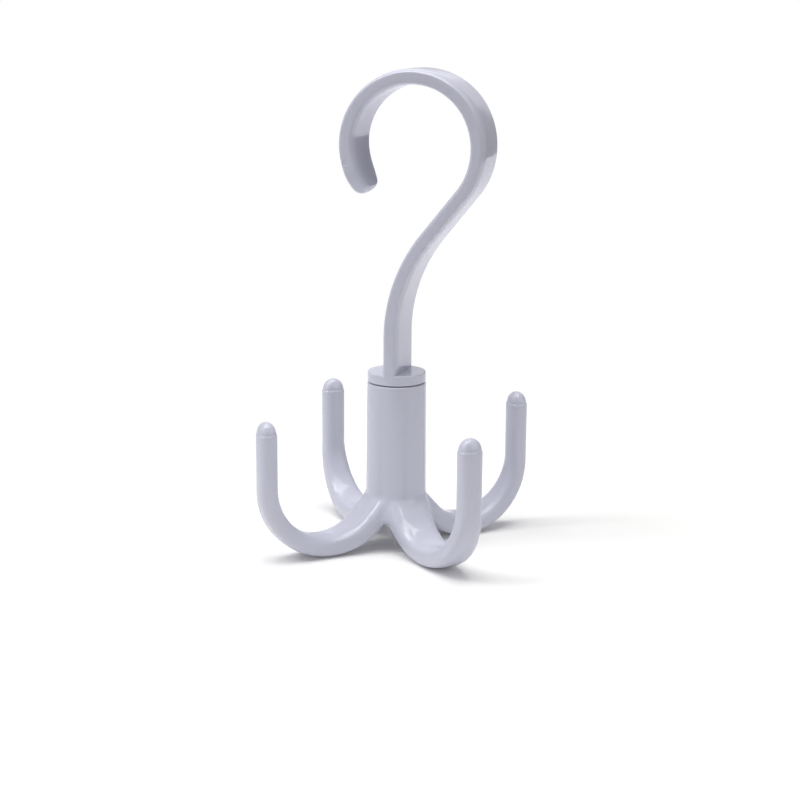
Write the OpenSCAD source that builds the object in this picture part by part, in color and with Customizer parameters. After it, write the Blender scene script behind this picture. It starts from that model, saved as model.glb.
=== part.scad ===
// Swivelling tie hanger: a flat question-mark hook that turns on a tube with four upturned claws.
// Millimetres, +Z up. The origin is on the swivel axis, level with the undersides of the claws.

/* [Hook strip] */
// Width of the strip, square to the plane of the hook
strip_w = 19.2; // [15:0.1:22]
// Thickness of the strip
strip_t = 4.8; // [4:0.1:6]
// Radius of the strip's long edges
strip_edge_r = 1.2; // [0.4:0.1:1.6]
// Direction of the hook's plane round the swivel axis, in degrees
hook_turn = -45; // [-180:1:180]

/* [Hook line] */
// Straight length of the shank above the flange
shank_len = 12.4; // [8:0.1:30]
// Radius of the bend out of the shank
shank_bend_r = 53.2; // [30:0.1:60]
// Angle of the bend out of the shank, in degrees
shank_turn = 38.9; // [25:0.1:45]
// Straight length of the slope up to the crown
slope_len = 18.3; // [10:0.1:35]
// Radius where the slope enters the crown
entry_r = 23.5; // [18:0.1:30]
// Angle of the entry, in degrees
entry_turn = 61.6; // [40:0.1:80]
// Radius of the crown, at the middle of the strip
crown_r = 21.8; // [17:0.1:30]
// Angle of the crown, in degrees
crown_turn = 165.3; // [120:0.1:175]
// Radius of the last stretch before the tip
nose_r = 27.7; // [20:0.1:35]
// Angle of the last stretch with the tip, in degrees
nose_turn = 28.6; // [24:0.1:40]
// Corner radius of the tongue-shaped tip
tip_corner_r = 8.6; // [4:0.1:9]

/* [Flange and pin] */
// How far the flange stands proud of the strip's long edges
flange_lip = 0.15; // [0.15:0.05:1.5]
// Thickness of the flange
flange_t = 3.5; // [2:0.1:6]
// Rounding of the flange's edges
flange_edge_r = 0.5; // [0.2:0.1:0.9]
// Diameter of the swivel pin
pin_d = 8; // [6:0.1:10]
// Height of the straight collar of the snap head
snap_collar = 1.2; // [0.8:0.1:2]
// Height of the lead-in cone of the snap head
snap_cone = 2.6; // [1.5:0.1:4]
// How far the snap head stands proud of the pin
snap_lip = 0.8; // [0.4:0.1:1.2]
// Width of the slot that lets the snap head close up
snap_slot = 1.6; // [1:0.1:2.4]

/* [Tube] */
// Height of the tube's rim above the ground
tube_top = 56.5; // [45:0.5:80]
// Height of the tube's open lower end
tube_foot = 9.5; // [8:0.1:11]
// How far the tube's rim stands proud of the flange
rim_lip = 0.1; // [0:0.05:1]
// Draft of the tube's outside, in degrees
tube_draft = 0.47; // [0:0.01:1.5]
// Wall of the tube at the rim
tube_wall = 2.35; // [2:0.05:3.5]
// Thickness of the web under the rim that carries the pin
web_t = 3; // [2:0.1:5]
// Rounding of the rim's outer edge
rim_edge_r = 0.5; // [0.2:0.1:0.9]
// Height at which the skirt round the foot leaves the tube
skirt_top = 17.8; // [15:0.1:22]
// Radius of the skirt at its widest
skirt_r = 12.8; // [11.5:0.1:14]
// Rounding of the skirt's lower edge
skirt_edge_r = 2; // [1:0.1:2.4]

/* [Claws] */
// Number of claws
claw_count = 4; // [3:1:4]
// Distance of a claw's upright from the swivel axis
claw_reach = 48; // [44:0.5:60]
// Height of the claws' tips
claw_tip_z = 48; // [36:0.5:54]
// Radius of the bend up to the tip
claw_bend_r = 21.5; // [16:0.1:24]
// Radius of the bend up to the tube
root_bend_r = 21.9; // [16:0.1:24]
// Slope of the root where it enters the tube, in degrees
root_slope = 47.7; // [35:0.1:50]
// Thickness of a claw in the plane of its bend
claw_t = 6.4; // [5:0.1:7]
// Thickness of a claw at the tube, where its upper side swells
root_t = 7.5; // [7:0.1:9]
// Width of a claw
claw_w = 8.1; // [7:0.1:10]
// Width of a claw at the tube
root_w = 15.8; // [13:0.1:17]
// Height of the domed tip
claw_dome = 4.1; // [3:0.1:6]
// Squareness of the section: 2 is an ellipse
claw_square = 2.4; // [2:0.1:3]

/* [Fits] */
// Radial clearance of the pin in the web
pin_clearance = 0.08; // [0.04:0.01:0.1]
// Gap between the flange and the rim, and between the snap head and the web
end_gap = 0.3; // [0.2:0.05:0.6]

/* [Hidden] */

plastic = "#C4C4D2";
// Facets round the axis, round a small edge and round a claw's section
smooth = 96;
edge_smooth = 24;
section_steps = 24;
// Largest turn between two rings of the strip, in degrees
ring_turn = 6.5;
// How far a cut runs past the faces that it opens
cut = 1;

flange_r = strip_w / 2 + flange_lip;
rim_r = flange_r + rim_lip;
root_r = rim_r + (tube_top - tube_foot) * tan(tube_draft);
hollow_r = rim_r - tube_wall;
// The skirt's side runs from the tube to the rounding of its lower edge, which it meets without a corner.
skirt_top_r = rim_r + (tube_top - skirt_top) * tan(tube_draft);
skirt_mid = [skirt_r - skirt_edge_r, tube_foot + skirt_edge_r];
skirt_run = [skirt_top_r, skirt_top] - skirt_mid;
skirt_lean = atan2(skirt_run[1], skirt_run[0]) - acos(skirt_edge_r / norm(skirt_run));
pin_r = pin_d / 2;
web_hole_r = pin_r + pin_clearance;
snap_r = pin_r + snap_lip;
flange_z = tube_top + end_gap;
shank_z = flange_z + flange_t;
web_z = tube_top - web_t;
snap_top = web_z - end_gap;
snap_foot = snap_top - snap_collar - snap_cone;
snap_nose_r = pin_r - snap_lip / 2;
// The slot ends half-way up the web, so the pin stays whole where it meets the flange.
slot_top = web_z + web_t / 2;

// Each station of the hook's line is [along, up, heading] in the plane of the hook.
// A turn is positive to the left, seen with the shank at the bottom and the tip to the left.
function ahead(at, run) = [at[0] + run * cos(at[2]), at[1] + run * sin(at[2]), at[2]];
function turned(at, r, turn) = [
    at[0] + r * (sin(at[2] + turn) - sin(at[2])),
    at[1] - r * (cos(at[2] + turn) - cos(at[2])),
    at[2] + turn];

// The tip's corners stay clear of each other on a narrow strip.
tongue_r = min(tip_corner_r, 0.45 * strip_w);
tip_turn = tongue_r / nose_r * 180 / PI;
foot_at = [0, shank_z - flange_t / 2, 90];
bend_at = [0, shank_z + shank_len, 90];
slope_at = turned(bend_at, -shank_bend_r, -shank_turn);
entry_at = ahead(slope_at, slope_len);
crown_at = turned(entry_at, entry_r, entry_turn);
nose_at = turned(crown_at, crown_r, crown_turn);

// The claw's line runs in its own plane as [out, up, heading], from inside the tube to the dome.
low_out = claw_reach - claw_bend_r;
low_z = claw_t / 2;
slope_out = low_out - root_bend_r * sin(root_slope);
slope_z = low_z + root_bend_r * (1 - cos(root_slope));
dome_z = claw_tip_z - claw_dome;
// Lengths along the line, from the top of the bend to the tube and on to its end inside the tube
bend_run = claw_bend_r * PI / 2;
root_run = root_bend_r * root_slope * PI / 180;
flare_run = bend_run + root_run + (slope_out - root_r) / cos(root_slope);
slope_run = (slope_out - hollow_r / 2) / cos(root_slope);

// Solid through a list of rings with equal counts of points, closed at both ends
module loft(rings) {
    n = len(rings[0]);
    last = len(rings) - 1;
    points = [for (ring = rings) each ring];
    sides = [
        for (i = [0:last - 1], j = [0:n - 1])
            let (a = i * n + j, b = i * n + (j + 1) % n)
                each [[a, b, b + n], [a, b + n, a + n]]];
    ends = [[for (j = [n - 1:-1:0]) j], [for (j = [0:n - 1]) last * n + j]];
    polyhedron(points = points, faces = concat(sides, ends));
}

// Stations along a bend, without its last one
function bend_stations(at, r, turn) =
    let (steps = ceil(abs(turn) / ring_turn))
        [for (i = [0:steps - 1]) turned(at, sign(turn) * r, turn * i / steps)];

// Outline of the strip with the given half sizes, as [thickness, width] pairs
function strip_outline(half_t, half_w) =
    let (r = min(strip_edge_r, 0.9 * half_t))
        [for (corner = [0:3], k = [0:edge_smooth / 4])
            let (
                a = 90 * corner + 360 * k / edge_smooth,
                sx = corner == 0 || corner == 3 ? 1 : -1,
                sy = corner < 2 ? 1 : -1)
                    [sx * (half_t - r) + r * cos(a), sy * (half_w - r) + r * sin(a)]];

// How far a round edge has drawn in, a given distance short of its end
function rounding(r, short) = r - sqrt(pow(r, 2) - pow(max(0, r - short), 2));

// One ring of the strip round a station, drawn in by the tip's roundings where it is short of the end
function strip_ring(at, short = tongue_r) =
    let (
        half_w = strip_w / 2 - rounding(tongue_r, short),
        half_t = strip_t / 2 - rounding(strip_edge_r, short))
            [for (p = strip_outline(half_t, half_w))
                [at[0] - p[0] * sin(at[2]), p[1], at[1] + p[0] * cos(at[2])]];

// The question-mark strip, from inside the flange to its tongue-shaped tip
module strip() {
    tip_steps = 12;
    stations = concat(
        [foot_at],
        bend_stations(bend_at, shank_bend_r, -shank_turn),
        [slope_at],
        bend_stations(entry_at, entry_r, entry_turn),
        bend_stations(crown_at, crown_r, crown_turn),
        bend_stations(nose_at, nose_r, nose_turn - tip_turn));
    tip_rings = [for (i = [0:tip_steps])
        let (short = tongue_r * pow(1 - i / tip_steps, 2))
            strip_ring(turned(nose_at, nose_r, nose_turn - short / nose_r * 180 / PI), short)];
    loft(concat([for (at = stations) strip_ring(at)], tip_rings));
}

// Half outline of the flange, to be turned about the axis
module flange_outline() {
    core_r = flange_r - flange_edge_r;
    translate([0, flange_z])
        square([core_r, flange_t]);
    translate([0, flange_z + flange_edge_r])
        square([flange_r, flange_t - 2 * flange_edge_r]);
    for (z = [flange_z + flange_edge_r, shank_z - flange_edge_r])
        translate([core_r, z])
            circle(r = flange_edge_r, $fn = edge_smooth);
}

// Half outline of the pin and its snap head, from inside the flange down
module pin_outline() {
    polygon([
        [0, flange_z + flange_t / 2],
        [pin_r, flange_z + flange_t / 2],
        [pin_r, snap_top],
        [snap_r, snap_top],
        [snap_r, snap_top - snap_collar],
        [snap_nose_r, snap_foot],
        [0, snap_foot]]);
}

// Flange, pin and snap head, all round the swivel axis
module swivel_pin() {
    rotate_extrude($fn = smooth)
        flange_outline();
    difference() {
        rotate_extrude($fn = smooth)
            pin_outline();
        translate([-snap_slot / 2, -snap_r - cut, snap_foot - cut])
            cube([snap_slot, 2 * (snap_r + cut), slot_top - snap_foot + cut]);
    }
}

// The hook with its flange and pin, one moulding
module swivel_hook() {
    color(plastic)
        rotate([0, 0, hook_turn]) {
            strip();
            swivel_pin();
        }
}

// Signed power, which squares off a circle into the claw's section
function squared(v) = sign(v) * pow(abs(v), 2 / claw_square);

// Width of a claw, a length along its line from the top of the bend
function claw_width(run) = claw_w + (root_w - claw_w) * min(1, run / flare_run);

// How far the claw's upper side lies above its line there. The lower side keeps half the thickness.
function claw_above(run) = claw_t / 2 + (root_t - claw_t) * min(1, run / flare_run);

// One ring of a claw round a station, a length from the top of the bend, shrunk by a factor inside the dome
function claw_ring(at, run, shrink = 1) = [
    for (k = [0:section_steps - 1])
        let (
            a = 360 * k / section_steps,
            side = cos(a) > 0 ? claw_above(run) : claw_t / 2,
            up = shrink * side * squared(cos(a)),
            across = shrink * claw_width(run) / 2 * squared(sin(a)))
                [at[0] - up * sin(at[2]), across, at[1] + up * cos(at[2])]];

// One claw along +X, from inside the tube to its domed tip
module claw() {
    slope_steps = 4;
    root_steps = 7;
    bend_steps = 13;
    dome_steps = 6;
    slope_rings = [for (i = [0:slope_steps - 1])
        let (
            run = slope_run * (1 - i / slope_steps),
            at = [slope_out - run * cos(root_slope), slope_z + run * sin(root_slope), -root_slope])
                claw_ring(at, bend_run + root_run + run)];
    root_rings = [for (i = [0:root_steps - 1])
        let (
            a = root_slope * (1 - i / root_steps),
            at = [low_out - root_bend_r * sin(a), low_z + root_bend_r * (1 - cos(a)), -a])
                claw_ring(at, bend_run + root_bend_r * a * PI / 180)];
    bend_rings = [for (i = [0:bend_steps])
        let (
            a = 90 * i / bend_steps,
            at = [low_out + claw_bend_r * sin(a), low_z + claw_bend_r * (1 - cos(a)), a])
                claw_ring(at, claw_bend_r * (90 - a) * PI / 180)];
    dome_rings = [for (i = [1:dome_steps])
        let (
            a = 86 * i / dome_steps,
            at = [claw_reach, dome_z + claw_dome * sin(a) / sin(86), 90])
                claw_ring(at, 0, cos(a))];
    dome_foot = claw_ring([claw_reach, dome_z, 90], 0);
    loft(concat(slope_rings, root_rings, bend_rings, [dome_foot], dome_rings));
}

// Half outline of the skirt that the claws grow out of
module skirt_outline() {
    edge_steps = 8;
    edge = [for (i = [0:edge_steps])
        let (a = -90 + (90 + skirt_lean) * i / edge_steps)
            skirt_mid + skirt_edge_r * [cos(a), sin(a)]];
    polygon(concat([[0, tube_foot]], edge, [[skirt_top_r, skirt_top], [0, skirt_top]]));
}

// Half outline of the tube before it is hollowed, with a round edge at the rim
module tube_outline() {
    shoulder = tube_top - rim_edge_r;
    polygon([[0, tube_foot], [root_r, tube_foot], [rim_r, shoulder], [0, shoulder]]);
    translate([0, shoulder - rim_edge_r / 2])
        square([rim_r - rim_edge_r, 1.5 * rim_edge_r]);
    translate([rim_r - rim_edge_r, shoulder])
        circle(r = rim_edge_r, $fn = edge_smooth);
}

// The tube and its claws, one moulding
module claw_body() {
    color(plastic)
        difference() {
            union() {
                rotate_extrude($fn = smooth)
                    union() {
                        tube_outline();
                        skirt_outline();
                    }
                for (i = [0:claw_count - 1])
                    rotate([0, 0, 360 * i / claw_count])
                        claw();
            }
            translate([0, 0, -cut])
                cylinder(r = hollow_r, h = web_z + cut, $fn = smooth);
            cylinder(r = web_hole_r, h = tube_top + cut, $fn = smooth);
        }
}

swivel_hook();
claw_body();
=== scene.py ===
"""Looks of a swivelling tie hanger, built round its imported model.

Sizes are in millimetres, as in the part's source, and turn into metres where a mesh is made.
The hook is drawn with its plane along X and is turned into place at the end.
"""
import logging
import math
from dataclasses import dataclass
from enum import Enum
from typing import Any, Sequence

import bmesh
import bpy
import numpy as np
from bmesh.types import BMesh, BMVert
from bpy.types import ID, Material, Mesh, Node, NodeSocket, NodeTree, Object
from mathutils import Matrix, Vector


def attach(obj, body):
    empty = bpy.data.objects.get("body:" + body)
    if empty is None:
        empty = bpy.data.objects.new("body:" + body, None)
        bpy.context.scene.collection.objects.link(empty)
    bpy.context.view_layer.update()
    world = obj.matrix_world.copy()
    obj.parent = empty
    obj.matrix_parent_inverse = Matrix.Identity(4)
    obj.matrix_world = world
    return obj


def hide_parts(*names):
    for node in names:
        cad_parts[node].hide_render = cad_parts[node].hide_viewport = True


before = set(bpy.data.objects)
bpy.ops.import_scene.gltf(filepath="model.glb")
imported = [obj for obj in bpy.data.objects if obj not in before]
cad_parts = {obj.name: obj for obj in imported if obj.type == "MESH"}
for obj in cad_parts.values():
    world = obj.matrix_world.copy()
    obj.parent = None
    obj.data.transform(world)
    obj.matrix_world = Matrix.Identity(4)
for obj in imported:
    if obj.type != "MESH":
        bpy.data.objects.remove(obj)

log = logging.getLogger("tie_hanger")

MM = 0.001
IMAGE_SIDE = 800
PLAIN_WHITE = (1.0, 1.0, 1.0, 1.0)
# Reflections find the white surroundings in this slightly bluish tone.
COOL_WHITE = (0.93, 0.93, 1.0, 1.0)
MATH = "ShaderNodeMath"
# Beyond this distance from the axis the body has only its claws.
CLAWS_ONLY_R = 20.0
# A ring of points this close to an edge keeps the edge's shading tight.
HOLD = 0.1
# A quarter-round edge has this many facets.
EDGE_STEPS = 6

Point2 = tuple[float, float]
Outline = list[Point2]
Place = tuple[float, float, float]


class Body(Enum):
    """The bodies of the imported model."""

    CLAWS = "claws"
    HOOK = "hook"


class Mark(Enum):
    """Marks that a mould leaves on a piece."""

    DOME_LEDGE = "fine ledge round the foot of each dome, where two parts of the mould met"
    GATE_DIMPLE = "shallow round dimple where the plastic ran into the mould"


def linear(code: str) -> tuple[float, float, float, float]:
    """Turns an sRGB colour into the linear one that the nodes take.

    Args:
        code: The colour as six hex digits after a hash sign.

    Returns:
        Linear red, green and blue, with full opacity.
    """
    parts = [int(code[i:i + 2], 16) / 255 for i in (1, 3, 5)]
    red, green, blue = (c / 12.92 if c <= 0.04045 else ((c + 0.055) / 1.055) ** 2.4 for c in parts)
    return red, green, blue, 1.0


def add_node(tree: NodeTree, kind: str, inputs: Any = (), **settings: Any) -> Node:
    """Adds a node with its settings, and fills or links its inputs.

    Args:
        tree: The tree that gets the node.
        kind: The node's type name.
        inputs: For each input a value, the socket that feeds it, or the node whose first live output
            feeds it. They stand in the node's own order, or by name or place in a dict.
        settings: Properties of the node itself.

    Returns:
        The new node.
    """
    node = tree.nodes.new(kind)
    for name, value in settings.items():
        setattr(node, name, value)
    for key, value in inputs.items() if isinstance(inputs, dict) else enumerate(inputs):
        if isinstance(value, Node):
            value = next(socket for socket in value.outputs if socket.enabled)
        if isinstance(value, NodeSocket):
            tree.links.new(value, node.inputs[key])
        else:
            node.inputs[key].default_value = value
    return node


def emptied(owner: ID) -> NodeTree:
    """Clears the usual nodes out of a material or a world.

    Args:
        owner: The material or world.

    Returns:
        Its node tree.
    """
    owner.use_nodes = True
    owner.node_tree.nodes.clear()
    return owner.node_tree


@dataclass(frozen=True)
class Ramp:
    """A level that goes from low to high while a reading goes from start to end."""

    start: float
    end: float
    low: float = 0.0
    high: Any = 1.0

    def inputs(self, reading: Any) -> dict[str, Any]:
        """What a Map Range node takes in to follow the ramp."""
        return {"Value": reading, "From Min": self.start, "From Max": self.end,
                "To Min": self.low, "To Max": self.high}


def new_tree(name: str, sockets: dict[str, str]) -> NodeTree:
    """Makes a Geometry Nodes tree with geometry in and out.

    Args:
        name: The tree's name.
        sockets: The named inputs after the geometry, each with the kind of its socket.

    Returns:
        The tree, with its input and output nodes in place.
    """
    tree = bpy.data.node_groups.new(name, "GeometryNodeTree")
    for label, kind in {"Geometry": "Geometry", **sockets}.items():
        tree.interface.new_socket(label, in_out="INPUT", socket_type="NodeSocket" + kind)
    tree.interface.new_socket("Geometry", in_out="OUTPUT", socket_type="NodeSocketGeometry")
    tree.nodes.new("NodeGroupInput")
    tree.nodes.new("NodeGroupOutput")
    return tree


def sweep(tree: NodeTree, profile: Any, through: Any, across: Any) -> Node:
    """Adds the nodes that draw a profile along the tree's line and scale it at each point.

    Args:
        tree: The tree. Its geometry is the line, made with new_line.
        profile: The outline that is drawn along the line.
        through: Scale of the profile in the line's plane.
        across: Scale of the profile across that plane.

    Returns:
        The node that gives the shape.
    """
    line = tree.nodes["Group Input"].outputs["Geometry"]
    path = add_node(tree, "GeometryNodeMeshToCurve", {"Mesh": line})
    path = add_node(tree, "GeometryNodeSetCurveNormal", {
        "Curve": path, "Normal": (0.0, 1.0, 0.0)}, mode="FREE")
    swept = add_node(tree, "GeometryNodeCurveToMesh", {
        "Curve": path, "Profile Curve": profile, "Fill Caps": True})
    middle = add_node(tree, "GeometryNodeInputNamedAttribute", {"Name": "middle"}, data_type="FLOAT_VECTOR")
    scale = add_node(tree, "ShaderNodeCombineXYZ", (through, across, through))
    here = add_node(tree, "GeometryNodeInputPosition")
    offset = add_node(tree, "ShaderNodeVectorMath", (here, middle), operation="SUBTRACT")
    drawn = add_node(tree, "ShaderNodeVectorMath", (offset, scale, middle), operation="MULTIPLY_ADD")
    return add_node(tree, "GeometryNodeSetPosition", {"Geometry": swept, "Position": drawn})


def end_tree(tree: NodeTree, shape: Node) -> None:
    """Adds a tree's last nodes, which make its instances real and give them the material.

    Args:
        tree: The tree, with a Material input.
        shape: The node that gives the shape.
    """
    whole = add_node(tree, "GeometryNodeRealizeInstances", {"Geometry": shape})
    finish = tree.nodes["Group Input"].outputs["Material"]
    dressed = add_node(tree, "GeometryNodeSetMaterial", {"Geometry": whole, "Material": finish})
    tree.links.new(dressed.outputs[0], tree.nodes["Group Output"].inputs[0])


def grown(base: Object, tree: NodeTree, values: dict[str, Any]) -> Mesh:
    """Runs a Geometry Nodes tree on an object and keeps the plain mesh that comes out.

    Args:
        base: The object that the tree starts from.
        tree: The tree.
        values: A value for each named input.

    Returns:
        The result as a mesh of its own.
    """
    modifier = base.modifiers.new(tree.name, "NODES")
    modifier.node_group = tree
    for item in tree.interface.items_tree:
        if item.item_type == "SOCKET" and item.in_out == "INPUT" and item.name in values:
            modifier[item.identifier] = values[item.name]
    mesh = evaluated_mesh(base)
    base.modifiers.remove(modifier)
    return mesh


def evaluated_mesh(piece: Object) -> Mesh:
    """Gives a piece's mesh with its modifiers worked in.

    Args:
        piece: The object.

    Returns:
        A mesh of its own.
    """
    bpy.context.view_layer.update()
    graph = bpy.context.evaluated_depsgraph_get()
    return bpy.data.meshes.new_from_object(piece.evaluated_get(graph), depsgraph=graph)


def new_piece(name: str, points: Any, faces: Sequence[Sequence[int]],
              edges: Sequence[Sequence[int]] = ()) -> Object:
    """Makes an object at the origin from points in millimetres.

    Args:
        name: The object's name.
        points: The points, three numbers each.
        faces: Point numbers of each face.
        edges: Point numbers of each loose edge.

    Returns:
        The new object, in the scene.
    """
    mesh = bpy.data.meshes.new(name)
    mesh.from_pydata((np.asarray(points, float) * MM).tolist(), list(edges), list(faces))
    mesh.update()
    return shown(name, mesh)


def new_line(name: str, points: np.ndarray, stored: dict[str, np.ndarray]) -> Object:
    """Makes a line in the plane across Y that a tree can sweep along.

    Args:
        name: The object's name.
        points: Its points in millimetres, as X and Z.
        stored: Values that the line carries at its points, by name.

    Returns:
        The line, which also carries each point's own place as middle.
    """
    spots = np.stack([points[:, 0], np.zeros(len(points)), points[:, 1]], 1)
    line = new_piece(name, spots, [], [(i, i + 1) for i in range(len(spots) - 1)])
    attributes = line.data.attributes
    attributes.new("middle", "FLOAT_VECTOR", "POINT").data.foreach_set("vector", (spots * MM).ravel())
    for label, values in stored.items():
        attributes.new(label, "FLOAT", "POINT").data.foreach_set("value", values)
    return line


def shown(name: str, data: ID) -> Object:
    """Puts a mesh, a lamp or a camera into the scene.

    Args:
        name: The object's name.
        data: What the object shows.

    Returns:
        The object.
    """
    piece = bpy.data.objects.new(name, data)
    bpy.context.scene.collection.objects.link(piece)
    return piece


def discard(*pieces: Object) -> None:
    """Takes helper objects out of the file."""
    for piece in pieces:
        bpy.data.objects.remove(piece, do_unlink=True)


def combined(name: str, piece: Object, other: Object, operation: str) -> Object:
    """Works two helper objects into a new one and discards them.

    Args:
        name: The new object's name.
        piece: The object that is changed.
        other: The object that is joined to it or cut out of it.
        operation: UNION or DIFFERENCE.

    Returns:
        The new object.
    """
    modifier = piece.modifiers.new(name, "BOOLEAN")
    modifier.operation, modifier.solver, modifier.object = operation, "EXACT", other
    result = shown(name, evaluated_mesh(piece))
    discard(piece, other)
    return result


def points_of(mesh: Mesh) -> np.ndarray:
    """Reads a mesh's points.

    Args:
        mesh: The mesh.

    Returns:
        The points in millimetres, one row each.
    """
    points = np.empty(len(mesh.vertices) * 3)
    mesh.vertices.foreach_get("co", points)
    return points.reshape(-1, 3) / MM


def give_finish(mesh: Mesh, finish: Material, sharp_from: float) -> None:
    """Gives a mesh its material and shades it smooth.

    Args:
        mesh: The mesh, changed in place.
        finish: The material.
        sharp_from: Edges that turn by more degrees than this stay sharp.
    """
    mesh.materials.clear()
    mesh.materials.append(finish)
    mesh.shade_smooth()
    mesh.set_sharp_from_angle(angle=math.radians(sharp_from))


def revolve(outline: Outline, steps: int) -> tuple[np.ndarray, list[list[int]]]:
    """Turns an outline about the Z axis.

    Args:
        outline: Radius and height of each corner, from the foot up round the outside.
            A corner on the axis closes the shape there. Otherwise the outline closes on itself.
        steps: Number of facets round the axis.

    Returns:
        The points and the faces.
    """
    angles = np.arange(steps) * 2 * math.pi / steps
    points: list[np.ndarray] = []
    starts: list[tuple[int, bool]] = []
    count = 0
    for r, z in outline:
        pole = r == 0.0
        starts.append((count, pole))
        ring = np.stack([r * np.cos(angles), r * np.sin(angles), np.full(steps, z)], 1)
        points.append(ring[:1] if pole else ring)
        count += len(points[-1])
    open_ended = starts[0][1] and starts[-1][1]
    pairs = list(zip(starts, starts[1:])) + ([] if open_ended else [(starts[-1], starts[0])])
    faces: list[list[int]] = []
    for (low, low_pole), (high, high_pole) in pairs:
        for k in range(steps):
            n = (k + 1) % steps
            if low_pole:
                faces.append([low, high + n, high + k])
            elif high_pole:
                faces.append([low + k, low + n, high])
            else:
                faces.append([low + k, low + n, high + n, high + k])
    return np.concatenate(points), faces


def arc(centre: Point2, radius: float, start: float, end: float, steps: int) -> Outline:
    """Points on an arc, both ends included, with angles in degrees."""
    turns = np.radians(np.linspace(start, end, steps + 1))
    return [(centre[0] + radius * math.cos(a), centre[1] + radius * math.sin(a)) for a in turns]


def along_leg(start: Place, size: float, turn: float, run: float) -> Place:
    """Walks along a straight leg or a bend in a plane.

    Args:
        start: Place and heading in radians where the leg starts.
        size: Length of a straight leg, or radius of a bend.
        turn: Degrees that a bend turns to the left, or 0 for a straight leg.
        run: How far to walk.

    Returns:
        Place and heading at the end of the walk.
    """
    x, z, heading = start
    if not turn:
        return x + run * math.cos(heading), z + run * math.sin(heading), heading
    side = math.copysign(1, turn)
    now = heading + side * run / size
    return (x + side * size * (math.sin(now) - math.sin(heading)),
            z - side * size * (math.cos(now) - math.cos(heading)), now)


def soft_min(a: np.ndarray, b: np.ndarray, reach: float) -> np.ndarray:
    """Least of two distances, with a round transition that starts where they differ by the reach."""
    h = np.maximum(reach - np.abs(a - b), 0) / reach
    return np.minimum(a, b) - h * h * reach / 4


def soft_max(a: np.ndarray, b: np.ndarray, reach: float) -> np.ndarray:
    """Greatest of two distances, with a round transition."""
    return -soft_min(-a, -b, reach)


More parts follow.
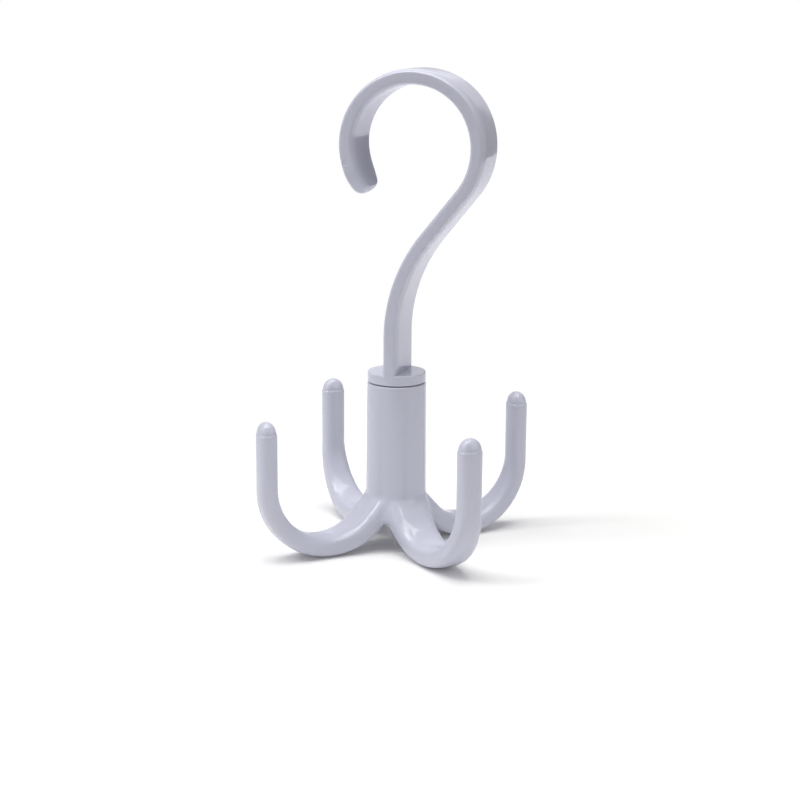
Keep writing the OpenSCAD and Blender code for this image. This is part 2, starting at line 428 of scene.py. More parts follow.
@dataclass(frozen=True)
class MouldedPolypropylene:
    """Polypropylene homopolymer, injection moulded in a polished steel tool.

    The tool leaves a gloss with soft-edged reflections. The resin is faintly translucent, so shadows
    inside the bends stay light, and flow and cooling leave a slight waviness and clouding.
    """

    colour: str = "#CACAD9"
    cloud_colour: str = "#C8C9D8"
    cloud_mm: float = 14.0
    ior: float = 1.49
    # Roughness follows the clouding.
    gloss: Ramp = Ramp(0.3, 0.7, 0.08, 0.12)
    wave_mm: float = 5.0
    wave_depth: float = 0.012
    peel_mm: float = 1.5
    # The finer peel has this share of the waviness's height.
    peel_share: float = 0.03
    glow: float = 0.12
    glow_mm: float = 1.5
    glow_tint: tuple[float, float, float] = (1.0, 0.95, 1.0)
    dome_ledge_z: float = 43.8
    dome_ledge_mm: float = 0.5
    dome_ledge_depth: float = 0.08
    gate_at: tuple[float, float, float] = (-17.28, 3.70, 129.68)
    gate_r: float = 0.9
    gate_edge_mm: float = 0.35
    gate_depth: float = 0.25

    def material(self, name: str, marks: Sequence[Mark]) -> Material:
        """Builds the material.

        Args:
            name: The material's name.
            marks: The mould's marks that this piece shows.

        Returns:
            The material.
        """
        made = bpy.data.materials.new(name)
        tree = emptied(made)
        place = add_node(tree, "ShaderNodeTexCoord").outputs["Object"]
        cloud = add_node(tree, "ShaderNodeTexNoise", {
            "Vector": place, "Scale": 1 / (self.cloud_mm * MM), "Detail": 2.0, "Roughness": 0.5})
        tint = add_node(tree, "ShaderNodeMix", {
            "Factor": cloud, "A": linear(self.colour), "B": linear(self.cloud_colour)}, data_type="RGBA")
        gloss = add_node(tree, "ShaderNodeMapRange", self.gloss.inputs(cloud))
        wave, peel = (add_node(tree, "ShaderNodeTexNoise", {
            "Vector": place, "Scale": 1 / (size * MM), "Detail": 1.0})
            for size in (self.wave_mm, self.peel_mm))
        height = add_node(tree, MATH, (peel, self.peel_share, wave), operation="MULTIPLY_ADD")
        normal = add_node(tree, "ShaderNodeBump", {
            "Strength": 1.0, "Distance": self.wave_depth * MM, "Height": height})
        for mark in marks:
            depth = self.dome_ledge_depth if mark is Mark.DOME_LEDGE else self.gate_depth
            normal = add_node(tree, "ShaderNodeBump", {
                "Strength": 1.0, "Distance": depth * MM, "Normal": normal,
                "Height": self.mark_height(tree, place, mark)})
        shader = add_node(tree, "ShaderNodeBsdfPrincipled", {
            "Base Color": tint, "Roughness": gloss, "IOR": self.ior, "Normal": normal,
            "Subsurface Weight": self.glow, "Subsurface Scale": self.glow_mm * MM,
            "Subsurface Radius": self.glow_tint})
        add_node(tree, "ShaderNodeOutputMaterial", {"Surface": shader})
        return made

    def mark_height(self, tree: NodeTree, place: NodeSocket, mark: Mark) -> Node:
        """Gives a mark's height, from 0 in its low part to 1 outside it.

        Args:
            tree: The material's nodes.
            place: Object coordinates.
            mark: The mark.

        Returns:
            The node that gives the height.
        """
        if mark is Mark.DOME_LEDGE:
            axes = add_node(tree, "ShaderNodeSeparateXYZ", (place,)).outputs
            flat = add_node(tree, "ShaderNodeCombineXYZ", (axes["X"], axes["Y"]))
            out = add_node(tree, "ShaderNodeVectorMath", (flat,), operation="LENGTH")
            on_claw = add_node(tree, MATH, (out, CLAWS_ONLY_R * MM), operation="GREATER_THAN")
            along = add_node(tree, MATH, (axes["Z"], on_claw), operation="MULTIPLY")
            middle, band, ends = self.dome_ledge_z, self.dome_ledge_mm, (1.0, 0.0)
        else:
            offset = add_node(tree, "ShaderNodeVectorMath", (
                place, tuple(c * MM for c in self.gate_at)), operation="SUBTRACT")
            along = add_node(tree, "ShaderNodeVectorMath", (offset,), operation="LENGTH")
            middle, band, ends = self.gate_r, self.gate_edge_mm, (0.0, 1.0)
        slope = Ramp((middle - band / 2) * MM, (middle + band / 2) * MM, *ends)
        return add_node(tree, "ShaderNodeMapRange", slope.inputs(along), interpolation_type="SMOOTHSTEP")


@dataclass(frozen=True)
class WhiteCard:
    """Matt white card with a fine grain, as studios lay under small goods.

    It keeps the hanger's shadow close by, where a lift that only the camera sees brings the lit card up to
    white. Further away the eye and the reflections find plain white, so that no edge shows.
    """

    colour: str = "#FAFAF9"
    grain_colour: str = "#F7F7F6"
    grain_mm: float = 2.5
    lift: float = 0.06
    going_white: Ramp = Ramp(100.0 * MM, 280.0 * MM)

    def material(self, name: str) -> Material:
        """Builds the material.

        Args:
            name: The material's name.

        Returns:
            The material.
        """
        made = bpy.data.materials.new(name)
        made.cycles.emission_sampling = "NONE"
        tree = emptied(made)
        place = add_node(tree, "ShaderNodeTexCoord").outputs["Object"]
        grain = add_node(tree, "ShaderNodeTexNoise", {
            "Vector": place, "Scale": 1 / (self.grain_mm * MM), "Detail": 2.0})
        paper = add_node(tree, "ShaderNodeMix", {
            "Factor": grain, "A": linear(self.colour),
            "B": linear(self.grain_colour)}, data_type="RGBA")
        card = add_node(tree, "ShaderNodeBsdfDiffuse", {"Color": paper})
        rays = add_node(tree, "ShaderNodeLightPath").outputs
        lift = add_node(tree, MATH, (rays["Is Camera Ray"], self.lift), operation="MULTIPLY")
        lift = add_node(tree, "ShaderNodeEmission", {"Color": PLAIN_WHITE, "Strength": lift})
        near_side = add_node(tree, "ShaderNodeAddShader", (card, lift))
        tint = add_node(tree, "ShaderNodeMix", {
            "Factor": rays["Is Glossy Ray"], "A": PLAIN_WHITE, "B": COOL_WHITE}, data_type="RGBA")
        white = add_node(tree, "ShaderNodeEmission", {"Color": tint, "Strength": 1.0})
        away = add_node(tree, "ShaderNodeVectorMath", (place,), operation="LENGTH")
        share = add_node(tree, "ShaderNodeMapRange", self.going_white.inputs(away),
                         interpolation_type="SMOOTHSTEP")
        seen = add_node(tree, MATH, (
            rays["Is Glossy Ray"], rays["Is Transmission Ray"]), operation="MAXIMUM")
        seen = add_node(tree, MATH, (rays["Is Camera Ray"], seen), operation="MAXIMUM")
        blend = add_node(tree, MATH, (seen, share), operation="MULTIPLY")
        both = add_node(tree, "ShaderNodeMixShader", (blend, near_side, white))
        add_node(tree, "ShaderNodeOutputMaterial", {"Surface": both})
        return made


@dataclass
class StripHook:
    """The flat question-mark strip on its round flange, with the swivel pin below, in one moulding.

    A name that ends in r is a radius, in t a thickness, in w a width, in z or top a height above the
    floor. Turns, the shank's bend and the angle of sharp edges are in degrees.
    """

    turn: float = -45.0
    width: float = 19.46
    thickness: float = 5.1
    # The parting line lies this far behind the middle. The hold keeps its ridge crisp, and each flat sets
    # one more point on the broad face in front of it or behind it.
    parting_off: float = 3.2
    ridge_hold: float = 0.25
    front_flat: float = 3.0
    front_edge_t: float = 1.2
    front_edge_w: float = 4.4
    front_edge_steps: int = 20
    back_flat: float = 5.6
    back_thickness: float = 4.9
    back_edge_r: float = 0.6
    back_edge_steps: int = 8
    line_step: float = 0.7
    shank_len: float = 12.22
    shank_bend_r: float = 53.2
    shank_bend: float = 38.9
    slope_len: float = 18.3
    entry_r: float = 23.5
    entry_turn: float = 61.6
    crown_r: float = 21.8
    crown_turn: float = 165.3
    nose_r: float = 27.7
    nose_turn: float = 28.6
    tip_r: float = 8.6
    tip_nose_r: float = 2.3
    tip_steps: int = 20
    flange_z: float = 56.8
    flange_t: float = 3.5
    flange_r: float = 9.75
    flange_edge_r: float = 0.5
    facets: int = 144
    pin_r: float = 4.0
    snap_top: float = 53.2
    snap_collar: float = 1.2
    snap_cone: float = 2.6
    snap_lip: float = 0.8
    snap_foot_edge: float = 0.2
    snap_slot: float = 1.6
    slot_top: float = 55.0
    slot_spare: float = 1.0
    sharp_from: float = 35.0

    def line(self) -> tuple[np.ndarray, np.ndarray]:
        """Follows the hook's line from inside the flange to the tip.

        Returns:
            The points in the plane of the hook, which draw together at the tip, and how far each is
            short of the end.
        """
        legs = [
            (self.flange_t / 2 + self.shank_len, 0.0), (self.shank_bend_r, -self.shank_bend),
            (self.slope_len, 0.0), (self.entry_r, self.entry_turn), (self.crown_r, self.crown_turn),
            (self.nose_r, self.nose_turn)]
        lengths = [size * math.radians(abs(turn)) if turn else size for size, turn in legs]
        total = sum(lengths)
        gaps = np.concatenate([
            np.arange(total, self.tip_r + self.line_step / 2, -self.line_step),
            self.tip_r * np.linspace(1, 0, self.tip_steps + 1) ** 2])
        wanted = list(total - gaps)
        place = (0.0, self.flange_z + self.flange_t / 2, math.pi / 2)
        walked = 0.0
        points = []
        for (size, turn), length in zip(legs, lengths):
            last = turn == self.nose_turn
            while wanted and (wanted[0] < walked + length or last):
                points.append(along_leg(place, size, turn, wanted.pop(0) - walked)[:2])
            place = along_leg(place, size, turn, length)
            walked += length
        return np.array(points), gaps

    def section(self) -> Outline:
        """Outline of the strip as thickness and width pairs.

        The broad faces are thickest at the mould's parting line. They taper to the back edge with its small
        rounding, and ease over into the front one along a quarter of a flat ellipse.

        Returns:
            The outline, once round.
        """
        ridge, back, half_w = self.thickness / 2, self.back_thickness / 2, self.width / 2
        taper = math.atan2(ridge - back, half_w - self.parting_off)
        r = self.back_edge_r
        reach = ridge * math.cos(taper) + self.parting_off * math.sin(taper)
        back_mid = ((reach - r - (half_w - r) * math.sin(taper)) / math.cos(taper), half_w - r)
        front_mid = (ridge - self.front_edge_t, self.front_edge_w - half_w)
        side = [(front_mid[0] + self.front_edge_t * x, front_mid[1] + self.front_edge_w * y)
                for x, y in arc((0.0, 0.0), 1.0, -90, 0, self.front_edge_steps)]
        side += [(ridge, self.parting_off - rise) for rise in (self.front_flat, self.ridge_hold, 0.0)]
        side += [(ridge - drop * math.tan(taper), self.parting_off + drop)
                 for drop in (self.ridge_hold, self.back_flat)]
        side += arc(back_mid, r, math.degrees(taper), 90, self.back_edge_steps)
        return side + [(-x, y) for x, y in reversed(side)]

    def sweep_tree(self) -> NodeTree:
        """Builds the nodes that draw the section along the line and round off the tip.

        The line stores how far each of its points is short of the end. A round end of some radius leaves
        only a share of the strip's width there, and a smaller one a share of its thickness.

        Returns:
            The tree.
        """
        tree = new_tree("strip_along_line", {
            "Section": "Object", "Width": "Float", "Thickness": "Float", "Tip Radius": "Float",
            "Nose Radius": "Float", "Material": "Material"})
        given = tree.nodes["Group Input"].outputs
        outline = add_node(tree, "GeometryNodeObjectInfo", {"Object": given["Section"]}).outputs["Geometry"]
        outline = add_node(tree, "GeometryNodeMeshToCurve", {"Mesh": outline})
        short = add_node(tree, "GeometryNodeInputNamedAttribute", {"Name": "short"}, data_type="FLOAT")
        shares = []
        for round_end, breadth in (("Nose Radius", "Thickness"), ("Tip Radius", "Width")):
            radius, size = given[round_end], given[breadth]
            inside = add_node(tree, MATH, (radius, short), operation="SUBTRACT")
            inside = add_node(tree, MATH, (inside, 0.0), operation="MAXIMUM")
            whole = add_node(tree, MATH, (radius, radius), operation="MULTIPLY")
            part = add_node(tree, MATH, (inside, inside), operation="MULTIPLY")
            rest = add_node(tree, MATH, (whole, part), operation="SUBTRACT")
            rest = add_node(tree, MATH, (rest,), operation="SQRT")
            lost = add_node(tree, MATH, (radius, rest), operation="SUBTRACT")
            both_sides = add_node(tree, MATH, (lost, 2.0), operation="MULTIPLY")
            gone = add_node(tree, MATH, (both_sides, size), operation="DIVIDE")
            shares.append(add_node(tree, MATH, (1.0, gone), operation="SUBTRACT"))
        end_tree(tree, sweep(tree, outline, *shares))
        return tree

    def build_strip(self, finish: Material) -> Object:
        """Makes the strip.

        Args:
            finish: Its material.

        Returns:
            The strip, from inside the flange to the tip.
        """
        points, gaps = self.line()
        base = new_line("hook_line", points, {"short": gaps * MM})
        outline = self.section()
        n = len(outline)
        section = new_piece("strip_section", [(across, through, 0.0) for through, across in outline], [],
                            [(i, (i + 1) % n) for i in range(n)])
        mesh = grown(base, self.sweep_tree(), {
            "Section": section, "Width": self.width * MM, "Thickness": self.thickness * MM,
            "Tip Radius": self.tip_r * MM, "Nose Radius": self.tip_nose_r * MM, "Material": finish})
        discard(base, section)
        return shown("strip", mesh)

    @property
    def snap_foot(self) -> float:
        """Height of the snap head's lower end."""
        return self.snap_top - self.snap_collar - self.snap_cone

    def pin_outline(self) -> Outline:
        """Half outline of the flange, the pin and the snap head.

        Returns:
            Radius and height of each corner, from the foot up.
        """
        e, low, high = self.flange_edge_r, self.flange_z, self.flange_z + self.flange_t
        foot, edge, foot_r = self.snap_foot, self.snap_foot_edge, self.pin_r - self.snap_lip / 2
        lip_r = self.pin_r + self.snap_lip
        return [
            (0.0, foot), (foot_r - edge, foot), (foot_r, foot + edge),
            (lip_r, self.snap_top - self.snap_collar), (lip_r, self.snap_top - HOLD),
            (lip_r - HOLD, self.snap_top),
            (self.pin_r, self.snap_top), (self.pin_r, low), (self.flange_r - e - HOLD, low),
            *arc((self.flange_r - e, low + e), e, -90, 0, EDGE_STEPS), (self.flange_r, low + e + HOLD),
            (self.flange_r, high - e - HOLD), *arc((self.flange_r - e, high - e), e, 0, 90, EDGE_STEPS),
            (self.flange_r - e - HOLD, high), (0.0, high)]

    def build_pin(self) -> Object:
        """Makes the flange and the pin, with the slot that lets the snap head close up.

        Returns:
            The flange with its pin.
        """
        pin = new_piece("flange_and_pin", *revolve(self.pin_outline(), self.facets))
        side, reach = self.snap_slot / 2, self.pin_r + self.snap_lip + self.slot_spare
        corners = [(x, y, z) for z in (self.snap_foot - self.slot_spare, self.slot_top)
                   for x, y in ((-side, -reach), (side, -reach), (side, reach), (-side, reach))]
        cutter = new_piece("slot_cutter", corners, [
            [3, 2, 1, 0], [4, 5, 6, 7], [0, 1, 5, 4], [1, 2, 6, 5], [2, 3, 7, 6], [3, 0, 4, 7]])
        return combined("pin", pin, cutter, "DIFFERENCE")

    def build(self, finish: Material) -> Object:
        """Makes the whole hook and turns it into place.

        Args:
            finish: Its material.

        Returns:
            The hook as one object at the origin.
        """
        moulding = combined("hook_moulding", self.build_strip(finish), self.build_pin(), "UNION")
        moulding.data.transform(Matrix.Rotation(math.radians(self.turn), 4, "Z"))
        give_finish(moulding.data, finish, self.sharp_from)
        return moulding

    def dress(self, piece: Object) -> None:
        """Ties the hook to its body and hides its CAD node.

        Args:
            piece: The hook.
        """
        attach(piece, Body.HOOK.value)
        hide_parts("swivel_hook")


@dataclass
class ClawBody:
    """The tube with its four claws, in one moulding.

    A name that ends in r is a radius, in t a thickness, in z, top or foot a height above the floor. The
    draft, the root's slope and the angle of sharp edges are in degrees.
    """

    tube_top: float = 56.5
    tube_foot: float = 9.5
    rim_r: float = 9.85
    rim_edge_r: float = 0.5
    draft: float = 0.47
    hollow_r: float = 7.5
    hollow_edge_reach: float = 0.6
    web_t: float = 3.0
    web_hole_r: float = 4.08
    skirt_top: float = 17.8
    skirt_r: float = 12.8
    skirt_edge_r: float = 2.0
    count: int = 4
    # A claw's line starts this far from the axis, inside the tube's wall.
    start_out: float = 9.6
    reach: float = 48.0
    tip_z: float = 48.0
    bend_r: float = 21.5
    root_bend_r: float = 21.9
    root_slope: float = 47.7
    # The straight slope above the root bend reaches this far at most.
    longest_slope: float = 20.0
    thickness: float = 6.26
    root_thickness: float = 7.6
    width: float = 7.94
    root_width: float = 15.3
    dome: float = 4.1
    # The dome stands back from the upright by this inset, which sets in over a band at its foot.
    dome_inset: float = 0.25
    dome_inset_band: float = 0.5
    squareness: float = 2.6
    root_squareness: float = 3.4
    facets: int = 96
    section_facets: int = 32
    voxel: float = 0.45
    # The skin is blended up to the join. Before it is cut there, it reaches over it by a spare and settles
    # a little over it. The cut takes only what lies within the zone round the axis.
    join_z: float = 24.0
    join_spare: float = 4.0
    settled_over: float = 2.0
    join_zone_r: float = 15.0
    # Heights of the rings that carry the tube's outside and its hollow on above the join.
    outer_rings: tuple[float, ...] = (28.0, 34.0, 40.0, 46.0, 52.0)
    inner_rings: tuple[float, ...] = (30.0, 40.0, 48.0)
    # Between these radii the rim's flat ring is filled with triangles.
    rim_fill: Point2 = (5.2, 6.0)
    # Reaches of the soft blends between two claws, claws and tube, and skirt and tube.
    valley_reach: float = 1.4
    skirt_reach: float = 0.8
    crease_reach: float = 0.3
    smoothing_rounds: int = 6
    sharp_from: float = 50.0

    def tube_r(self, z: Any) -> Any:
        """Radius of the tube's outside at a height."""
        return self.rim_r + (self.tube_top - z) * math.tan(math.radians(self.draft))

    @property
    def low_out(self) -> float:
        """Distance of a claw's lowest point from the axis."""
        return self.reach - self.bend_r

    @property
    def dome_foot(self) -> float:
        """Height at which a claw's dome starts."""
        return self.tip_z - self.dome

    @property
    def slope(self) -> float:
        """Slope of the root, in radians."""
        return math.radians(self.root_slope)

    @property
    def slope_start(self) -> Point2:
        """Where the root bend ends and the straight slope starts."""
        return (self.low_out - self.root_bend_r * math.sin(self.slope),
                self.thickness / 2 + self.root_bend_r * (1 - math.cos(self.slope)))

    @property
    def bend_len(self) -> float:
        """Length of a claw's line in the bend between its lowest point and its upright."""
        return self.bend_r * math.pi / 2

    @property
    def bends_len(self) -> float:
        """Length of a claw's line in both bends."""
        return self.bend_len + self.root_bend_r * self.slope

    def swell(self, run: Any) -> Any:
        """Share of the root's growth that a claw has, a length along its line from the top of the bend."""
        flare = self.bends_len + (self.slope_start[0] - self.tube_r(self.tube_foot)) / math.cos(self.slope)
        return np.clip(run / flare, 0, 1)

    def claw_line(self) -> tuple[np.ndarray, np.ndarray, np.ndarray]:
        """Follows the middle of a claw from inside the tube's wall to the top of its dome.

        The upper side alone grows thicker towards the root, so the middle rises there by half of that.

        Returns:
            The points in the plane of the claw, its share of the root's growth and its shrinkage at each.
        """
        low_z, (sx, sz) = self.thickness / 2, self.slope_start
        slope_steps, root_steps, bend_steps, upright_steps, dome_steps = 4, 15, 35, 13, 8
        # The last ring of the dome stops short of its pole, at this many degrees.
        dome_end = 84
        rows: list[tuple[float, float, float, float, float]] = []
        for run in np.linspace((sx - self.start_out) / math.cos(self.slope), 0, slope_steps + 1)[:-1]:
            rows.append((sx - run * math.cos(self.slope), sz + run * math.sin(self.slope), -self.slope,
                         self.bends_len + run, 1.0))
        for radius, headings in ((self.root_bend_r, np.linspace(-self.slope, 0, root_steps + 1)[:-1]),
                                 (self.bend_r, np.linspace(0, math.pi / 2, bend_steps + 1))):
            rows += [(self.low_out + radius * math.sin(a), low_z + radius * (1 - math.cos(a)), a,
                      self.bend_len - radius * a, 1.0) for a in headings]
        for z in np.linspace(low_z + self.bend_r, self.dome_foot, upright_steps + 1)[1:]:
            rows.append((self.reach, z, math.pi / 2, 0.0, 1.0))
        for a in np.radians(np.linspace(0, dome_end, dome_steps + 1))[1:]:
            rows.append((self.reach, self.dome_foot + self.dome * math.sin(a), math.pi / 2, 0.0,
                         math.cos(a)))
        out, up, heading, run, shrink = np.array(rows).T
        share = self.swell(run)
        rise = (self.root_thickness - self.thickness) / 2 * share
        return np.stack([out - rise * np.sin(heading), up + rise * np.cos(heading)], 1), share, shrink

    def claws_tree(self) -> NodeTree:
        """Builds the nodes that sweep one claw along its line and set its copies round the axis.

        The line stores the claw's share of the root's growth and its shrinkage at each point.

        Returns:
            The tree.
        """
        tree = new_tree("claws_round_axis", {
            "Count": "Int", "Width": "Float", "Root Width": "Float", "Thickness": "Float",
            "Root Thickness": "Float", "Material": "Material"})
        given = tree.nodes["Group Input"].outputs
        # The circle is one millimetre across, so the sizes scale it by their number of millimetres.
        circle = add_node(tree, "GeometryNodeCurvePrimitiveCircle", {
            "Resolution": self.section_facets, "Radius": 0.5 * MM}, mode="RADIUS").outputs["Curve"]
        share, shrink = (add_node(tree, "GeometryNodeInputNamedAttribute", {"Name": name}, data_type="FLOAT")
                         for name in ("share", "shrink"))
        sizes = []
        for slim, full in (("Thickness", "Root Thickness"), ("Width", "Root Width")):
            mixed = add_node(tree, "ShaderNodeMix", {
                "Factor": share, "A": given[slim], "B": given[full]}, data_type="FLOAT")
            sizes.append(add_node(tree, MATH, (mixed, shrink), operation="MULTIPLY"))
        claw = sweep(tree, circle, *sizes)
        spots = add_node(tree, "GeometryNodePoints", {"Count": given["Count"]})
        number = add_node(tree, "GeometryNodeInputIndex")
        turn = add_node(tree, MATH, (number, 2 * math.pi), operation="MULTIPLY")
        turn = add_node(tree, MATH, (turn, given["Count"]), operation="DIVIDE")
        facing = add_node(tree, "ShaderNodeCombineXYZ", {2: turn})
        end_tree(tree, add_node(tree, "GeometryNodeInstanceOnPoints", {
            "Points": spots, "Instance": claw, "Rotation": facing}))
        return tree

    def rough_body(self, finish: Material) -> Mesh:
        """Makes the claws and the foot of the tube as one even skin, before their blends.

        Args:
            finish: Its material.

        Returns:
            The mesh.
        """
        points, shares, shrinks = self.claw_line()
        base = new_line("claw_line", points, {"share": shares, "shrink": shrinks})
        claws = shown("claws", grown(base, self.claws_tree(), {
            "Count": self.count, "Width": self.width, "Root Width": self.root_width,
            "Thickness": self.thickness, "Root Thickness": self.root_thickness, "Material": finish}))
        # The skirt's edge is rough here, because the skin settles on its true round later.
        e, end = self.skirt_edge_r, self.join_z + self.join_spare
        foot = new_piece("tube_foot", *revolve([
            (self.hollow_r, self.tube_foot), (self.skirt_r - e, self.tube_foot),
            *arc((self.skirt_r - e, self.tube_foot + e), e, -70, 20, 4),
            (self.tube_r(self.skirt_top), self.skirt_top), (self.tube_r(end), end),
            (self.hollow_r, end)], self.facets))
        bm = bmesh.new()
        for piece in (claws, foot):
            bm.from_mesh(piece.data)
        joined = bpy.data.meshes.new("rough_body")
        bm.to_mesh(joined)
        bm.free()
        rough = shown("rough_body", joined)
        skin = rough.modifiers.new("skin", "REMESH")
        skin.mode, skin.voxel_size, skin.adaptivity = "VOXEL", self.voxel * MM, 0.0
        mesh = evaluated_mesh(rough)
        discard(base, claws, foot, rough)
        return mesh

    def one_claw(self, p: np.ndarray) -> np.ndarray:
        """Distance from the skin of the claw along +X, nearly true close to it.

        Args:
            p: Points, three numbers each.

        Returns:
            The distances, negative inside.
        """
        x, y, z = p[:, 0], np.abs(p[:, 1]), p[:, 2]
        low_z, (sx, sz) = self.thickness / 2, self.slope_start
        cos, sin, top = math.cos(self.slope), math.sin(self.slope), self.dome_foot
        # Each leg of the claw's line gives the distance from it, the length along it and the upper side.
        legs = [(np.hypot(x - self.reach, z - np.clip(z, low_z + self.bend_r, top)), np.zeros(len(p)),
                 x < self.reach)]
        for radius, least, most in ((self.bend_r, 0.0, math.pi / 2), (self.root_bend_r, -self.slope, 0.0)):
            out, down = x - self.low_out, low_z + radius - z
            a = np.clip(np.arctan2(out, down), least, most)
            legs.append((np.hypot(out - radius * np.sin(a), down - radius * np.cos(a)),
                         self.bend_len - radius * a, np.hypot(out, down) < radius))
        run = np.clip((sx - x) * cos + (z - sz) * sin, 0, self.longest_slope)
        legs.append((np.hypot(x - sx + run * cos, z - sz - run * sin), self.bends_len + run,
                     (x - sx) * sin + (z - sz) * cos > 0))
        offs, runs, above = (np.array(values) for values in zip(*legs))
        nearest = np.argmin(offs, axis=0), np.arange(len(p))
        n, share = offs[nearest], self.swell(runs[nearest])
        on_upright = x > self.low_out
        inset = self.dome_inset * np.clip((z - top) / self.dome_inset_band + 0.5, 0, 1) * on_upright
        half_w = (self.width + (self.root_width - self.width) * share) / 2 - inset
        half_t = self.thickness / 2 + (self.root_thickness - self.thickness) * share * above[nearest] - inset
        over = np.maximum(z - top, 0) * on_upright
        n = np.where(over > 0, np.abs(x - self.reach), n)
        # The section is a superellipse. Its rule's value over its slope is the distance close to the skin.
        least, e = 1e-6, self.squareness + (self.root_squareness - self.squareness) * share
        f = np.maximum(((n / half_t) ** e + (y / half_w) ** e) ** (1 / e), least)
        grad_n = f ** (1 - e) * n ** (e - 1) / half_t ** e
        grad_y = f ** (1 - e) * y ** (e - 1) / half_w ** e
        whole = np.sqrt(f ** 2 + (over / self.dome) ** 2)
        grad = np.sqrt((f * grad_n) ** 2 + (f * grad_y) ** 2 + (over / self.dome ** 2) ** 2) / whole
        return (whole - 1) / np.maximum(grad, least)

    def distance(self, p: np.ndarray) -> np.ndarray:
        """Distance from the skin of the body below the join, with its soft blends.

        Args:
            p: Points, three numbers each.

        Returns:
            The distances, negative inside.
        """
        sector = 2 * math.pi / self.count
        bearing = np.arctan2(p[:, 1], p[:, 0])
        nearest = np.round(bearing / sector)
        beside = nearest + np.where(bearing / sector > nearest, 1, -1)
        r, z = np.hypot(p[:, 0], p[:, 1]), p[:, 2]
        claws = []
        for which in (nearest, beside):
            a = bearing - which * sector
            claws.append(self.one_claw(np.stack([r * np.cos(a), r * np.sin(a), z], 1)))
        spider = soft_min(claws[0], claws[1], self.valley_reach)
        tube = (r - self.tube_r(z)) * math.cos(math.radians(self.draft))
        mid = (self.skirt_r - self.skirt_edge_r, self.tube_foot + self.skirt_edge_r)
        run = (self.tube_r(self.skirt_top) - mid[0], self.skirt_top - mid[1])
        lean = math.atan2(run[1], run[0]) - math.acos(self.skirt_edge_r / math.hypot(*run))
        cone = (r - mid[0]) * math.cos(lean) + (z - mid[1]) * math.sin(lean) - self.skirt_edge_r
        core = soft_max(soft_min(tube, cone, self.crease_reach), self.tube_foot - z, 2 * self.skirt_edge_r)
        outside = soft_min(spider, core, self.skirt_reach)
        return soft_max(outside, self.hollow_r - r, self.hollow_edge_reach)

    def steepest(self, p: np.ndarray) -> np.ndarray:
        """Direction in which the distance grows, and how fast, at each point."""
        apart = 0.02
        return np.stack([(self.distance(p + step) - self.distance(p - step)) / (2 * apart)
                         for step in np.eye(3) * apart], 1)

    def settle(self, p: np.ndarray, rounds: int) -> np.ndarray:
        """Moves points onto the skin.

        Args:
            p: Points, three numbers each.
            rounds: How often each point takes a step towards the skin.

        Returns:
            The moved points.
        """
        longest, flattest = 0.8, 0.05
        for _ in range(rounds):
            grad = self.steepest(p)
            push = self.distance(p) / np.maximum((grad ** 2).sum(1), flattest)
            p = p - grad * np.clip(push, -longest, longest)[:, None]
        return p

    def ruled(self, p: np.ndarray, spare: float) -> np.ndarray:
        """Tells which points lie on the blended skin, up to a height over the join."""
        return (p[:, 2] < self.join_z + spare) | (np.hypot(p[:, 0], p[:, 1]) > CLAWS_ONLY_R)

    def build(self, finish: Material) -> Object:
        """Makes the whole body.

        Args:
            finish: Its material.

        Returns:
            The body as one object at the origin.
        """
        mesh = self.rough_body(finish)
        points = points_of(mesh)
        ends = np.empty(len(mesh.edges) * 2, np.int64)
        mesh.edges.foreach_get("vertices", ends)
        ends = ends.reshape(-1, 2)
        valence = np.bincount(ends.ravel(), minlength=len(points))[:, None]
        low = self.ruled(points, self.settled_over)
        pull = 0.5
        points[low] = self.settle(points[low], rounds=3)
        for _ in range(self.smoothing_rounds):
            total = np.zeros_like(points)
            np.add.at(total, ends[:, 0], points[ends[:, 1]])
            np.add.at(total, ends[:, 1], points[ends[:, 0]])
            points[low] += pull * (total / valence - points)[low]
            points[low] = self.settle(points[low], rounds=1)
        points[low] = self.settle(points[low], rounds=2)
        mesh.vertices.foreach_set("co", (points * MM).ravel())
        mesh.update()
        self.add_upper_tube(mesh)
        give_finish(mesh, finish, self.sharp_from)
        self.set_normals(mesh)
        return shown("claw_moulding", mesh)

    def add_upper_tube(self, mesh: Mesh) -> None:
        """Cuts the skin at the join and carries it on up to the rim, the web and the bore.

        Args:
            mesh: The body's mesh, changed in place.
        """
        bm = bmesh.new()
        bm.from_mesh(mesh)
        above = [v for v in bm.verts if v.co.z > self.join_z * MM
                 and math.hypot(v.co.x, v.co.y) < self.join_zone_r * MM]
        bmesh.ops.delete(bm, geom=above, context="VERTS")
        e, top, web_z = self.rim_edge_r, self.tube_top, self.tube_top - self.web_t
        outer = [(self.tube_r(z), z) for z in (*self.outer_rings, top - e - HOLD)]
        outer += arc((self.tube_r(top) - e, top - e), e, 0, 90, EDGE_STEPS)
        outer += [(self.rim_r - e - HOLD, top), (self.rim_fill[1], top)]
        inner = [(self.hollow_r, z) for z in (*self.inner_rings, web_z - HOLD, web_z)]
        inner += [(r, web_z) for r in (self.hollow_r - HOLD, self.web_hole_r + HOLD)]
        inner += [(self.web_hole_r, z) for z in (web_z, web_z + HOLD, top - HOLD, top)]
        inner += [(r, top) for r in (self.web_hole_r + HOLD, self.rim_fill[0])]
        last_edges = []
        for loop in self.open_loops(bm):
            wide = math.hypot(loop[0].co.x, loop[0].co.y) > 0.5 * (self.hollow_r + self.rim_r) * MM
            radius = self.tube_r(self.join_z) if wide else self.hollow_r
            for v in loop:
                v.co = self.turned(v, radius, self.join_z)
            ring = loop
            for r, z in (outer if wide else inner):
                fresh = [bm.verts.new(self.turned(v, r, z)) for v in loop]
                for i in range(len(ring)):
                    j = (i + 1) % len(ring)
                    bm.faces.new([ring[i], ring[j], fresh[j], fresh[i]])
                ring = fresh
